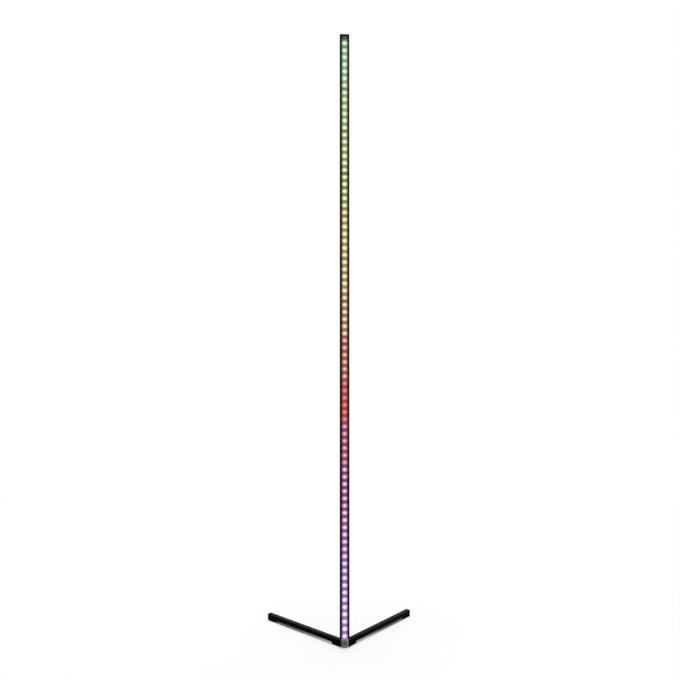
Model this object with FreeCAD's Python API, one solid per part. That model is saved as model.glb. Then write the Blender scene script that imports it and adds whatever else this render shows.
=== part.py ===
import FreeCAD, Part
import math
import os

# Corner floor lamp, in millimetres with +Z up.
# A slim pole in screwed sections stands on a base of two legs set in a V. A strip of lights in a
# silicone sleeve fills the channel in the pole's front, which faces -Y, the corner of the room.
# The legs run back from the pole along the two walls. The origin is on the floor, under the axis
# of the bars that join the pole's sections.

# Pole extrusion
SECTION_COUNT = 4
SECTION_LENGTH = 352.0
POLE_WIDTH = 22.0
POLE_DEPTH = 12.5
POLE_WALL = 1.3
POLE_FRONT_RADIUS = 0.5
POLE_REAR_RADIUS = 2.0
CHANNEL_WIDTH = 15.4
CHANNEL_DEPTH = 5.0
CHANNEL_WALL = 1.1
NIB_WIDTH = 0.7
NIB_DEPTH = 0.6

# Bars inside the pole, and the cap on its top
BAR_CLEARANCE = 0.3
BAR_CHAMFER = 0.8
BAR_REACH = 36.0
LID_THICKNESS = 3.0
CAP_TONGUE = 12.0
CAP_CHANNEL_DROP = 1.3

# Screws
SCREW_RADIUS = 1.5
SCREW_GRIP = 3.2
THREAD_CLEARANCE = 0.05
HOLE_CLEARANCE = 0.15
HEAD_RADIUS = 2.6
HEAD_HEIGHT = 1.3
SINK_CLEARANCE = 0.2
SOCKET_RADIUS = 1.1
SOCKET_DEPTH = 0.7
SOCKET_SIDES = 6

# Light strip
LED_PITCH = 1000.0 / 60.0
LEDS_PER_GROUP = 6
LOWEST_LED_HEIGHT = 27.2
LED_SIZE = 5.0
LED_THICKNESS = 1.6
LED_WINDOW_SIZE = 3.6
LED_WINDOW_DEPTH = 0.5
BOARD_WIDTH = 12.0
BOARD_THICKNESS = 0.4
CHIP_LENGTH = 4.9
CHIP_WIDTH = 3.9
CHIP_THICKNESS = 1.4
RESISTOR_LENGTH = 3.2
RESISTOR_WIDTH = 1.6
RESISTOR_THICKNESS = 0.6
RESISTOR_SPACING = 3.0
RESISTORS_PER_GROUP = 3
RESISTOR_AFTER_LED = 3

# Silicone sleeve, its tape, the plug in its top and the boot on its lower end
TAPE_WIDTH = 10.0
TAPE_THICKNESS = 0.5
SLEEVE_CLEARANCE = 0.2
SLEEVE_PROUD = 0.2
SLEEVE_WALL = 1.0
SLEEVE_BACK_WALL = 0.8
SLEEVE_EDGE_RADIUS = 0.6
PLUG_HEAD = 4.8
PLUG_STEM = 4.0
BOOT_WALL = 1.2
BOOT_CLEARANCE = 0.15
BOOT_GAP = 0.3
BOOT_HEIGHT = 20.5
BOOT_POCKET = 7.0
BOOT_EDGE_RADIUS = 1.0
BOOT_BOTTOM_RADIUS = 7.0
WIRE_ROOM_WIDTH = 9.0

# Base corner
COLUMN_TOP = 21.6
ARM_LENGTH = 42.5
ARM_END_RADIUS = 2.5
VERTEX_AHEAD = 7.0
SHOULDER_EDGE_RADIUS = 1.5
PAD_THICKNESS = 1.5
PAD_INSET = 1.2

# Lead passage through the base corner
LEAD_HEIGHT = 8.6
LEAD_RADIUS = 2.1
GROMMET_WALL = 1.0
GROMMET_LENGTH = 5.0
GROMMET_CLEARANCE = 0.1
FLANGE_RADIUS = 4.6
FLANGE_THICKNESS = 1.0

# Legs
LEG_ANGLE = 45.0
LEG_LENGTH = 259.3
LEG_WIDTH = 12.0
LEG_HEIGHT = 10.5
LEG_WALL = 1.5
LEG_EDGE_RADIUS = 0.8
LEG_UNDERSIDE = 5.5
MITRE_GAP = 0.3
LEG_SCREW_PLACE = 31.0
NUT_PLATE_THICKNESS = 3.0
NUT_PLATE_LENGTH = 15.0
FOOT_CAP_HEAD = 8.5
FOOT_CAP_PLUG = 14.0
FOOT_LENGTH = 27.0
FOOT_EDGE_RADIUS = 0.7

# A cut runs this far past the faces that it goes through
OVERRUN = 1.0
TOLERANCE = 1e-6

# Places that follow from the sizes above
CAVITY_DEPTH = POLE_DEPTH - CHANNEL_DEPTH - CHANNEL_WALL - POLE_WALL
CAVITY_FRONT = -CAVITY_DEPTH / 2
CAVITY_BACK = CAVITY_DEPTH / 2
CAVITY_WIDTH = POLE_WIDTH - 2 * POLE_WALL
POLE_BACK = CAVITY_BACK + POLE_WALL
POLE_FRONT = POLE_BACK - POLE_DEPTH
POLE_TOP = COLUMN_TOP + SECTION_COUNT * SECTION_LENGTH
CHANNEL_FLOOR = POLE_FRONT + CHANNEL_DEPTH
MOUTH_WIDTH = CHANNEL_WIDTH - 2 * NIB_WIDTH

SLEEVE_WIDTH = CHANNEL_WIDTH - 2 * SLEEVE_CLEARANCE
SLEEVE_FRONT = POLE_FRONT - SLEEVE_PROUD
SLEEVE_BACK = CHANNEL_FLOOR - TAPE_THICKNESS
ROOM_FRONT = SLEEVE_FRONT + SLEEVE_WALL
ROOM_BACK = SLEEVE_BACK - SLEEVE_BACK_WALL
ROOM_WIDTH = SLEEVE_WIDTH - 2 * SLEEVE_WALL
BOARD_FRONT = ROOM_BACK - BOARD_THICKNESS

BOOT_WIDTH = SLEEVE_WIDTH + 2 * (BOOT_CLEARANCE + BOOT_WALL)
BOOT_FRONT = SLEEVE_FRONT - BOOT_CLEARANCE - BOOT_WALL
BOOT_BACK = SLEEVE_BACK + BOOT_CLEARANCE + BOOT_WALL
BOOT_TOP = COLUMN_TOP - BOOT_GAP
SLEEVE_BOTTOM = BOOT_TOP - BOOT_POCKET
PLUG_TOP = POLE_TOP - CAP_CHANNEL_DROP - BOOT_GAP
SLEEVE_TOP = PLUG_TOP - PLUG_HEAD
STEM_BOTTOM = SLEEVE_TOP - PLUG_STEM

GROUP_LENGTH = LEDS_PER_GROUP * LED_PITCH
BOARD_BOTTOM = LOWEST_LED_HEIGHT - LED_PITCH / 2
GROUP_COUNT = int((STEM_BOTTOM - BOARD_BOTTOM) / GROUP_LENGTH)
BOARD_TOP = BOARD_BOTTOM + GROUP_COUNT * GROUP_LENGTH

LEG_TOP = LEG_UNDERSIDE + LEG_HEIGHT
LEG_VERTEX = POLE_FRONT - VERTEX_AHEAD
TUBE_END = LEG_LENGTH - FOOT_CAP_HEAD
SIN_LEG = math.sin(math.radians(LEG_ANGLE))
TAN_LEG = math.tan(math.radians(LEG_ANGLE))
SHOULDER_BACK = LEG_VERTEX + POLE_WIDTH / 2 / TAN_LEG + LEG_WIDTH / SIN_LEG


# Shapes that several pieces are made from

def point(x, y, z=0.0):
    """A point or direction."""
    return FreeCAD.Vector(x, y, z)


def block(x_low, x_high, y_low, y_high, z_low, z_high):
    """A box between two corners."""
    corner = point(x_low, y_low, z_low)
    return Part.makeBox(x_high - x_low, y_high - y_low, z_high - z_low, corner)


def centred_block(width, y_low, y_high, z_low, z_high):
    """A box centred on the lamp's plane of symmetry."""
    return block(-width / 2, width / 2, y_low, y_high, z_low, z_high)


def runs_along(edge, direction):
    """Whether an edge is straight and lies along a direction."""
    if len(edge.Vertexes) < 2 or not isinstance(edge.Curve, Part.Line):
        return False
    run = edge.Vertexes[1].Point - edge.Vertexes[0].Point
    return run.cross(direction).Length < TOLERANCE * run.Length


def rounded(solid, radius, direction, chosen=None):
    """A solid with its edges along a direction rounded, or those of them that are chosen."""
    edges = [edge for edge in solid.Edges if runs_along(edge, direction)]
    if chosen:
        edges = [edge for edge in edges if chosen(edge.CenterOfMass)]
    return solid.makeFillet(radius, edges)


def mirrored(solid):
    """The same solid on the other side of the lamp's plane of symmetry."""
    return solid.mirror(point(0, 0), point(1, 0))


def copies_at(solid, heights):
    """A group of separate copies of a solid drawn at floor height, one at each height."""
    copies = []
    for height in heights:
        copy = solid.copy()
        copy.translate(point(0, 0, height))
        copies.append(copy)
    return Part.makeCompound(copies)


# Pole

def section_start(index):
    """The height of the lower end of a pole section, counted up from 0."""
    return COLUMN_TOP + index * SECTION_LENGTH


def screw_heights(joint):
    """The heights of the screws at a joint: joint 0 is on the base's tenon, the others are splices."""
    above = section_start(joint) + BAR_REACH / 2
    below = section_start(joint) - BAR_REACH / 2
    return [below, above] if joint else [above]


def pole_screw_heights():
    """The heights of all the screws in the pole's back."""
    return [height for joint in range(SECTION_COUNT) for height in screw_heights(joint)]


def screw_hole(height, radius, y_low, y_high):
    """A cut for one of the pole's screws, along Y."""
    return Part.makeCylinder(radius, y_high - y_low, point(0, y_low, height), point(0, 1))


def pole_outline(z_low, z_high):
    """The pole's outside, with sharper front corners and rounder rear ones."""
    up = point(0, 0, 1)
    middle = (POLE_FRONT + POLE_BACK) / 2
    solid = centred_block(POLE_WIDTH, POLE_FRONT, POLE_BACK, z_low, z_high)
    solid = rounded(solid, POLE_REAR_RADIUS, up, lambda centre: centre.y > middle)
    return rounded(solid, POLE_FRONT_RADIUS, up, lambda centre: centre.y < middle)


def pole_section(index):
    """One length of the extrusion: a light channel in front and a U-shaped hollow behind it."""
    low = section_start(index)
    high = low + SECTION_LENGTH
    shell_width = CHANNEL_WIDTH + 2 * CHANNEL_WALL
    hollow = centred_block(CAVITY_WIDTH, POLE_FRONT + POLE_WALL, CAVITY_BACK, low, high)
    hollow = hollow.cut(centred_block(shell_width, POLE_FRONT, CAVITY_FRONT, low, high))
    channel = centred_block(CHANNEL_WIDTH, POLE_FRONT + NIB_DEPTH, CHANNEL_FLOOR, low, high)
    mouth = centred_block(MOUTH_WIDTH, POLE_FRONT - OVERRUN, CHANNEL_FLOOR, low, high)
    holes = []
    for height in pole_screw_heights():
        if low < height < high:
            radius = SCREW_RADIUS + HOLE_CLEARANCE
            holes.append(screw_hole(height, radius, CAVITY_BACK - OVERRUN, POLE_BACK + OVERRUN))
    return pole_outline(low, high).cut([hollow, channel, mouth] + holes)


def spine_bar(z_low, z_high, screw_heights):
    """A bar that slides into the pole's rear hollow, with a threaded hole for each screw."""
    width = CAVITY_WIDTH - 2 * BAR_CLEARANCE
    bar = centred_block(width, CAVITY_FRONT + BAR_CLEARANCE, CAVITY_BACK, z_low, z_high)
    ends = [edge for edge in bar.Edges if runs_along(edge, point(0, 1))]
    bar = bar.makeChamfer(BAR_CHAMFER, ends)
    radius = SCREW_RADIUS + THREAD_CLEARANCE
    holes = [screw_hole(z, radius, CAVITY_FRONT, CAVITY_BACK + OVERRUN) for z in screw_heights]
    return bar.cut(holes)


def splice_bar(joint):
    """The bar across a joint between two sections."""
    middle = section_start(joint)
    return spine_bar(middle - BAR_REACH, middle + BAR_REACH, screw_heights(joint))


def pan_head_screw():
    """A pan-head screw with a hexagon socket, its head seated on the pole's back."""
    head = Part.makeCylinder(HEAD_RADIUS, HEAD_HEIGHT, point(0, POLE_BACK), point(0, 1))
    length = POLE_WALL + SCREW_GRIP
    shank = Part.makeCylinder(SCREW_RADIUS, length, point(0, POLE_BACK - length), point(0, 1))
    floor = POLE_BACK + HEAD_HEIGHT - SOCKET_DEPTH
    corners = []
    for side in range(SOCKET_SIDES):
        turn = 2 * math.pi * side / SOCKET_SIDES
        corners.append(point(SOCKET_RADIUS * math.cos(turn), floor, SOCKET_RADIUS * math.sin(turn)))
    socket = Part.Face(Part.makePolygon(corners + corners[:1]))
    return head.fuse(shank).cut(socket.extrude(point(0, SOCKET_DEPTH + OVERRUN)))


def top_end_cap():
    """The pole's cap: a lid, a block that closes the light channel and a tongue in the hollow."""
    lid = pole_outline(POLE_TOP, POLE_TOP + LID_THICKNESS)
    low = POLE_TOP - CAP_CHANNEL_DROP
    width = CHANNEL_WIDTH - 2 * SLEEVE_CLEARANCE
    behind_nibs = POLE_FRONT + NIB_DEPTH + SLEEVE_CLEARANCE
    closer = centred_block(width, behind_nibs, CHANNEL_FLOOR - SLEEVE_CLEARANCE, low, POLE_TOP)
    between_nibs = MOUTH_WIDTH - 2 * SLEEVE_CLEARANCE
    face = centred_block(between_nibs, POLE_FRONT, CHANNEL_FLOOR - SLEEVE_CLEARANCE, low, POLE_TOP)
    tongue = spine_bar(POLE_TOP - CAP_TONGUE, POLE_TOP, [])
    return lid.fuse([closer, face, tongue]).removeSplitter()


# Light strip

def led_height(group, place):
    """The height of an LED: groups count down from the top, and so do places in a group."""
    return BOARD_TOP - group * GROUP_LENGTH - (place + 0.5) * LED_PITCH


def led_package():
    """One square LED at floor height, with a sunk window facing -Y."""
    half = LED_SIZE / 2
    front = BOARD_FRONT - LED_THICKNESS
    body = centred_block(LED_SIZE, front, BOARD_FRONT, -half, half)
    reach = LED_WINDOW_SIZE / 2
    depth = front + LED_WINDOW_DEPTH
    return body.cut(centred_block(LED_WINDOW_SIZE, front - OVERRUN, depth, -reach, reach))


def led_group(group):
    """The LEDs that one driver chip lights alike."""
    return copies_at(led_package(), [led_height(group, place) for place in range(LEDS_PER_GROUP)])


def driver_chips():
    """One chip for each group, below the group's first LED."""
    half = CHIP_LENGTH / 2
    chip = centred_block(CHIP_WIDTH, BOARD_FRONT - CHIP_THICKNESS, BOARD_FRONT, -half, half)
    heights = [led_height(group, 0) - LED_PITCH / 2 for group in range(GROUP_COUNT)]
    return copies_at(chip, heights)


def series_resistors():
    """A row of resistors for each group, one for each colour."""
    half = RESISTOR_LENGTH / 2
    resistors = []
    for column in range(RESISTORS_PER_GROUP):
        left = (column - (RESISTORS_PER_GROUP - 1) / 2) * RESISTOR_SPACING - RESISTOR_WIDTH / 2
        right = left + RESISTOR_WIDTH
        front = BOARD_FRONT - RESISTOR_THICKNESS
        resistors.append(block(left, right, front, BOARD_FRONT, -half, half))
    row = Part.makeCompound(resistors)
    place = RESISTOR_AFTER_LED - 0.5
    heights = [led_height(group, place) for group in range(GROUP_COUNT)]
    return copies_at(row, heights)


def led_board():
    """The flexible circuit board, flat on the back of the sleeve's room."""
    return centred_block(BOARD_WIDTH, BOARD_FRONT, ROOM_BACK, BOARD_BOTTOM, BOARD_TOP)


def sleeve_outline(z_low, z_high):
    """The sleeve's outside: a body behind the channel's nibs and a window between them."""
    behind_nibs = POLE_FRONT + NIB_DEPTH + SLEEVE_CLEARANCE
    body = centred_block(SLEEVE_WIDTH, behind_nibs, SLEEVE_BACK, z_low, z_high)
    width = MOUTH_WIDTH - 2 * SLEEVE_CLEARANCE
    window = centred_block(width, SLEEVE_FRONT, SLEEVE_BACK, z_low, z_high)
    outline = body.fuse(window).removeSplitter()
    up = point(0, 0, 1)
    near = SLEEVE_FRONT + TOLERANCE
    radius = min(SLEEVE_EDGE_RADIUS, SLEEVE_PROUD + NIB_DEPTH)
    return rounded(outline, radius, up, lambda centre: centre.y < near)


def silicone_sleeve():
    """The translucent tube over the whole strip."""
    room = centred_block(ROOM_WIDTH, ROOM_FRONT, ROOM_BACK, SLEEVE_BOTTOM, SLEEVE_TOP)
    return sleeve_outline(SLEEVE_BOTTOM, SLEEVE_TOP).cut(room)


def sleeve_tape():
    """The adhesive tape between the sleeve and the channel's floor."""
    return centred_block(TAPE_WIDTH, SLEEVE_BACK, CHANNEL_FLOOR, COLUMN_TOP, SLEEVE_TOP)


def sleeve_top_plug():
    """The plug that seals the sleeve's top, with a stem in its room."""
    head = sleeve_outline(SLEEVE_TOP, PLUG_TOP)
    width = ROOM_WIDTH - 2 * BOOT_CLEARANCE
    front = ROOM_FRONT + BOOT_CLEARANCE
    back = ROOM_BACK - BOOT_CLEARANCE
    stem = centred_block(width, front, back, STEM_BOTTOM, SLEEVE_TOP)
    return head.fuse(stem).removeSplitter()


def sleeve_boot():
    """The round-ended boot over the sleeve's lower end, with room for the wires and their outlet."""
    low = BOOT_TOP - BOOT_HEIGHT
    outside = centred_block(BOOT_WIDTH, BOOT_FRONT, BOOT_BACK, low, BOOT_TOP)
    radius = min(BOOT_BOTTOM_RADIUS, BOOT_HEIGHT - BOOT_POCKET)
    from_front = rounded(outside, radius, point(0, 1), lambda centre: centre.z < low + TOLERANCE)
    near = lambda centre: centre.y < BOOT_FRONT + TOLERANCE
    from_above = rounded(outside, BOOT_EDGE_RADIUS, point(0, 0, 1), near)
    boot = from_front.common(from_above)
    pocket_width = SLEEVE_WIDTH + 2 * BOOT_CLEARANCE
    pocket_front = SLEEVE_FRONT - BOOT_CLEARANCE
    pocket_back = SLEEVE_BACK + BOOT_CLEARANCE
    above = BOOT_TOP + OVERRUN
    pocket = centred_block(pocket_width, pocket_front, pocket_back, SLEEVE_BOTTOM, above)
    room_low = LEAD_HEIGHT - LEAD_RADIUS
    room = centred_block(WIRE_ROOM_WIDTH, ROOM_FRONT, ROOM_BACK, room_low, above)
    outlet = lead_cut(LEAD_RADIUS, ROOM_BACK - OVERRUN, BOOT_BACK + OVERRUN)
    return boot.cut([pocket, room, outlet])


# Base corner

def along_leg(solid):
    """Set a solid drawn with X along the right leg and Y across it, inwards, in its place."""
    placed = solid.copy()
    placed.rotate(point(0, 0), point(0, 0, 1), 90 - LEG_ANGLE)
    placed.translate(point(0, LEG_VERTEX))
    return placed


def mitred(solid, x_limit):
    """The part of a solid of the right leg that lies beyond an upright plane beside the pole."""
    reach = 2 * LEG_LENGTH
    return solid.cut(block(-reach, x_limit, -reach, reach, -reach, reach))


def lead_cut(radius, y_low, y_high):
    """A round cut along Y on the axis of the lead passage."""
    return Part.makeCylinder(radius, y_high - y_low, point(0, y_low, LEAD_HEIGHT), point(0, 1))


def leg_screw_cylinder(radius, z_low, z_high):
    """A cylinder on the axis of the right leg's screw, before the leg is set in its place."""
    return Part.makeCylinder(radius, z_high - z_low, point(LEG_SCREW_PLACE, LEG_WIDTH / 2, z_low))


def corner_footprint(inset, z_low, z_high):
    """The base corner's V from above: a block behind the boot and two arms, drawn in by an inset."""
    up = point(0, 0, 1)
    body_width = POLE_WIDTH - 2 * inset
    body = centred_block(body_width, POLE_FRONT + inset, SHOULDER_BACK - inset, z_low, z_high)
    end = ARM_LENGTH - inset
    arm = block(0, end, inset, LEG_WIDTH - inset, z_low, z_high)
    radius = max(ARM_END_RADIUS - inset, POLE_FRONT_RADIUS)
    arm = rounded(arm, radius, up, lambda centre: centre.x > end - TOLERANCE)
    arm = mitred(along_leg(arm), POLE_WIDTH / 2 - inset)
    notch_width = BOOT_WIDTH + 2 * (BOOT_GAP + inset)
    notch_back = BOOT_BACK + BOOT_GAP + inset
    notch = centred_block(notch_width, POLE_FRONT - OVERRUN, notch_back, z_low, z_high)
    return body.fuse([arm, mirrored(arm)]).cut(notch).removeSplitter()


def base_corner():
    """The moulded corner: arms under the legs, a column round the boot and the pole's tenon."""
    arms = corner_footprint(0, PAD_THICKNESS, LEG_UNDERSIDE)
    middle = (POLE_BACK + SHOULDER_BACK) / 2
    shoulder = centred_block(POLE_WIDTH, POLE_FRONT, SHOULDER_BACK, PAD_THICKNESS, LEG_TOP)
    rear_top = lambda centre: centre.y > middle and centre.z > LEG_UNDERSIDE
    shoulder = rounded(shoulder, SHOULDER_EDGE_RADIUS, point(1, 0), rear_top)
    column = pole_outline(PAD_THICKNESS, COLUMN_TOP)
    tenon = spine_bar(COLUMN_TOP - OVERRUN, COLUMN_TOP + BAR_REACH, screw_heights(0))
    notch_width = BOOT_WIDTH + 2 * BOOT_GAP
    notch_back = BOOT_BACK + BOOT_GAP
    notch = centred_block(notch_width, POLE_FRONT - OVERRUN, notch_back, 0, COLUMN_TOP + OVERRUN)
    passage_radius = LEAD_RADIUS + GROMMET_WALL + GROMMET_CLEARANCE
    passage = lead_cut(passage_radius, notch_back - OVERRUN, SHOULDER_BACK + OVERRUN)
    solid = arms.fuse([shoulder, column, tenon]).cut([notch, passage])
    hole = leg_screw_cylinder(SCREW_RADIUS + HOLE_CLEARANCE, 0, LEG_UNDERSIDE + OVERRUN)
    sink_top = PAD_THICKNESS + SINK_CLEARANCE + HEAD_HEIGHT
    sink = leg_screw_cylinder(HEAD_RADIUS + HOLE_CLEARANCE, 0, sink_top)
    screw_way = along_leg(hole.fuse(sink))
    return solid.cut([screw_way, mirrored(screw_way)]).removeSplitter()


def corner_pad():
    """The rubber sheet under the base corner."""
    return corner_footprint(PAD_INSET, 0, PAD_THICKNESS)


def lead_grommet():
    """The flanged rubber bush where the lead leaves the base corner."""
    start = SHOULDER_BACK - GROMMET_LENGTH
    bush = lead_cut(LEAD_RADIUS + GROMMET_WALL, start, SHOULDER_BACK)
    flange = lead_cut(FLANGE_RADIUS, SHOULDER_BACK, SHOULDER_BACK + FLANGE_THICKNESS)
    bore = lead_cut(LEAD_RADIUS, start - OVERRUN, SHOULDER_BACK + FLANGE_THICKNESS + OVERRUN)
    return bush.fuse(flange).cut(bore)


# Legs

def leg_screws():
    """The screws sunk in the arms, through each leg's floor into its nut plate."""
    seat = PAD_THICKNESS + SINK_CLEARANCE + HEAD_HEIGHT
    plate_top = LEG_UNDERSIDE + LEG_WALL + NUT_PLATE_THICKNESS
    head = leg_screw_cylinder(HEAD_RADIUS, seat - HEAD_HEIGHT, seat)
    shank = leg_screw_cylinder(SCREW_RADIUS, seat, plate_top)
    right = along_leg(head.fuse(shank))
    return Part.makeCompound([right, mirrored(right)])


def right_leg():
    """The steel tube, mitred to lie flat against the base corner's side."""
    along = point(1, 0)
    bar = block(0, TUBE_END, 0, LEG_WIDTH, LEG_UNDERSIDE, LEG_TOP)
    bar = rounded(bar, min(LEG_EDGE_RADIUS, LEG_WALL), along)
    bore_low = LEG_UNDERSIDE + LEG_WALL
    bore_high = LEG_TOP - LEG_WALL
    bore = block(0, TUBE_END, LEG_WALL, LEG_WIDTH - LEG_WALL, bore_low, bore_high)
    radius = SCREW_RADIUS + HOLE_CLEARANCE
    hole = leg_screw_cylinder(radius, LEG_UNDERSIDE - OVERRUN, bore_low + OVERRUN)
    return mitred(along_leg(bar.cut([bore, hole])), POLE_WIDTH / 2 + MITRE_GAP)


def right_nut_plate():
    """The threaded plate that lies on the floor of the leg's tube."""
    low = LEG_UNDERSIDE + LEG_WALL
    high = low + NUT_PLATE_THICKNESS
    inside = LEG_WALL + BAR_CLEARANCE
    start = LEG_SCREW_PLACE - NUT_PLATE_LENGTH / 2
    end = LEG_SCREW_PLACE + NUT_PLATE_LENGTH / 2
    plate = block(start, end, inside, LEG_WIDTH - inside, low, high)
    hole = leg_screw_cylinder(SCREW_RADIUS + THREAD_CLEARANCE, low - OVERRUN, high + OVERRUN)
    return mitred(along_leg(plate.cut(hole)), POLE_WIDTH / 2 + MITRE_GAP)


def right_foot_cap():
    """The plastic end of the leg: a plug in the tube, a head over its end and a foot under it."""
    foot_start = LEG_LENGTH - FOOT_LENGTH
    foot = block(foot_start, LEG_LENGTH, 0, LEG_WIDTH, PAD_THICKNESS, LEG_UNDERSIDE)
    head = block(TUBE_END, LEG_LENGTH, 0, LEG_WIDTH, PAD_THICKNESS, LEG_TOP)
    outside = foot.fuse(head).removeSplitter()
    envelope = block(foot_start, LEG_LENGTH, 0, LEG_WIDTH, PAD_THICKNESS, LEG_TOP)
    far = lambda centre: centre.x > LEG_LENGTH - TOLERANCE
    from_above = rounded(envelope, FOOT_EDGE_RADIUS, point(0, 0, 1), far)
    brim = lambda centre: centre.z > LEG_TOP - TOLERANCE
    from_end = rounded(envelope, min(LEG_EDGE_RADIUS, LEG_WALL), point(1, 0), brim)
    outside = outside.common(from_above).common(from_end)
    inside = LEG_WALL + BAR_CLEARANCE
    low = LEG_UNDERSIDE + inside
    high = LEG_TOP - inside
    start = TUBE_END - FOOT_CAP_PLUG
    plug = block(start, TUBE_END, inside, LEG_WIDTH - inside, low, high)
    tip = [edge for edge in plug.Edges if edge.BoundBox.XMax < start + TOLERANCE]
    plug = plug.makeChamfer(BAR_CHAMFER, tip)
    return along_leg(outside.fuse(plug))


def right_foot_pad():
    """The rubber pad under the leg's far end."""
    start = LEG_LENGTH - FOOT_LENGTH + PAD_INSET
    end = LEG_LENGTH - PAD_INSET
    pad = block(start, end, PAD_INSET, LEG_WIDTH - PAD_INSET, 0, PAD_THICKNESS)
    far = lambda centre: centre.x > end - TOLERANCE
    return along_leg(rounded(pad, FOOT_EDGE_RADIUS, point(0, 0, 1), far))


# All the pieces, by name

def pole_pieces():
    """The pole's sections, the bars that join them, their screws and the cap."""
    pieces = {}
    for index in range(SECTION_COUNT):
        pieces[f"pole_section_{index + 1}"] = pole_section(index)
    for joint in range(1, SECTION_COUNT):
        pieces[f"splice_bar_{joint}"] = splice_bar(joint)
    pieces["pole_screws"] = copies_at(pan_head_screw(), pole_screw_heights())
    pieces["top_end_cap"] = top_end_cap()
    return pieces


def light_pieces():
    """The strip in its sleeve."""
    pieces = {}
    for group in range(GROUP_COUNT):
        pieces[f"led_group_{group + 1:02d}"] = led_group(group)
    pieces["led_board"] = led_board()
    pieces["driver_chips"] = driver_chips()
    pieces["series_resistors"] = series_resistors()
    pieces["silicone_sleeve"] = silicone_sleeve()
    pieces["sleeve_tape"] = sleeve_tape()
    pieces["sleeve_top_plug"] = sleeve_top_plug()
    pieces["sleeve_boot"] = sleeve_boot()
    return pieces


def base_pieces():
    """The base corner and the two legs."""
    pieces = {"base_corner": base_corner(), "corner_pad": corner_pad()}
    pieces["lead_grommet"] = lead_grommet()
    pieces["leg_screws"] = leg_screws()
    right = {"leg": right_leg(), "nut_plate": right_nut_plate()}
    right["foot_cap"] = right_foot_cap()
    right["foot_pad"] = right_foot_pad()
    for name, solid in right.items():
        pieces[f"right_{name}"] = solid
        pieces[f"left_{name}"] = mirrored(solid)
    return pieces


def main():
    """Write one file for each named piece."""
    os.makedirs("parts", exist_ok=True)
    pieces = {**pole_pieces(), **light_pieces(), **base_pieces()}
    for name, shape in pieces.items():
        shape.exportStep(f"parts/{name}.step")
        print(f"{name}: {len(shape.Solids)} solid(s), {shape.Volume / 1000:.2f} cm3")


main()
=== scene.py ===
"""The corner floor lamp's looks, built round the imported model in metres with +Z up.

A slim black pole stands on two legs set in a V. A strip of coloured lights in a milky silicone
sleeve fills the channel in the pole's front, which faces -Y. Each sub-assembly is a class that
dresses its own pieces, and a studio class sets the floor, the light and the camera.
"""

import enum
import logging
import math
from dataclasses import dataclass
from typing import Callable, Dict, Optional, Sequence, Tuple, Union

import bmesh
import bpy
from mathutils import Matrix, Vector


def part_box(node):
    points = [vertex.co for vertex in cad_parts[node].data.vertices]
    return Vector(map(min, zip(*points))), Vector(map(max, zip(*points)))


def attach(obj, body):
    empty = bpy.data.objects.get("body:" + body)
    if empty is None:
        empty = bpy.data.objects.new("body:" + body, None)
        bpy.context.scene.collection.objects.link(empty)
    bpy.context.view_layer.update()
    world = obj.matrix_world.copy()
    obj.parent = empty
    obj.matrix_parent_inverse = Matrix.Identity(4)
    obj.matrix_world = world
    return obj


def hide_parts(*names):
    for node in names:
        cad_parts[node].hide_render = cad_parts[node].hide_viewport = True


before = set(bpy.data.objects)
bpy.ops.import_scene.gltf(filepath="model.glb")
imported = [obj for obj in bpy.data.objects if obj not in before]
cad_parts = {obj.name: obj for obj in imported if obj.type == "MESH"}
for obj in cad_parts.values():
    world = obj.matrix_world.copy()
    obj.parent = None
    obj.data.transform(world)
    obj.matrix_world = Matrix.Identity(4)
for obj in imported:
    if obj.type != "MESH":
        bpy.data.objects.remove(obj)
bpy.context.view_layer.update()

LOG = logging.getLogger("corner_floor_lamp")
BODY = "root"
MM = 0.001

Triple = Tuple[float, float, float]
Pair = Tuple[float, float]
Size = Union[float, Triple]
Colour = Triple
Piece = bpy.types.Object
Socket = bpy.types.NodeSocket
BLACK: Colour = (0.0, 0.0, 0.0)
WHITE: Colour = (1.0, 1.0, 1.0)

# Noise keeps mostly between these, and is stretched from there to the whole range.
NOISE_LOW = 0.3
NOISE_HIGH = 0.7
# How far a finish's roughness varies in all.
ROUGHNESS_RANGE = 0.12
# Faces get painted light more and more as the Z of their normal goes from the first to the second.
PAINTED_TOP_TILTS: Pair = (0.3, 0.95)
# How much of that painted light there is where the finish's pattern is lowest.
PAINTED_TOP_LEAST = 0.7

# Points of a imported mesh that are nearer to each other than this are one.
WELD = 0.001 * MM
# Two faces are flat below the first angle, have an edge to ease above the second, and are
# shaded apart above the third, or above the second on turned pieces.
FLAT, EDGE, CREASE = (math.radians(angle) for angle in (0.6, 35, 32))


def paint(red: float, green: float, blue: float) -> Colour:
    """Turn a colour as a paint chart gives it into the linear one that shaders take.

    Args:
        red: red share, 0 to 255.
        green: green share, 0 to 255.
        blue: blue share, 0 to 255.

    Returns:
        The linear colour.
    """
    shares = [part / 255 for part in (red, green, blue)]
    linear = [s / 12.92 if s <= 0.04045 else ((s + 0.055) / 1.055) ** 2.4 for s in shares]
    return linear[0], linear[1], linear[2]


# Shader maths


def operator(operation: str, swapped: bool = False) -> Callable[["Wire", "Number"], "Wire"]:
    """Make one of a wire's operators.

    Args:
        operation: the Math node's operation.
        swapped: whether the wire is the second number.

    Returns:
        The method; a comparison gives 1 where it holds, and 0 elsewhere.
    """

    def method(wire: "Wire", other: "Number") -> "Wire":
        """Make the Math node."""
        values = (other, wire) if swapped else (wire, other)
        return wire.recipe.maths(operation, *values)

    return method


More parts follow.
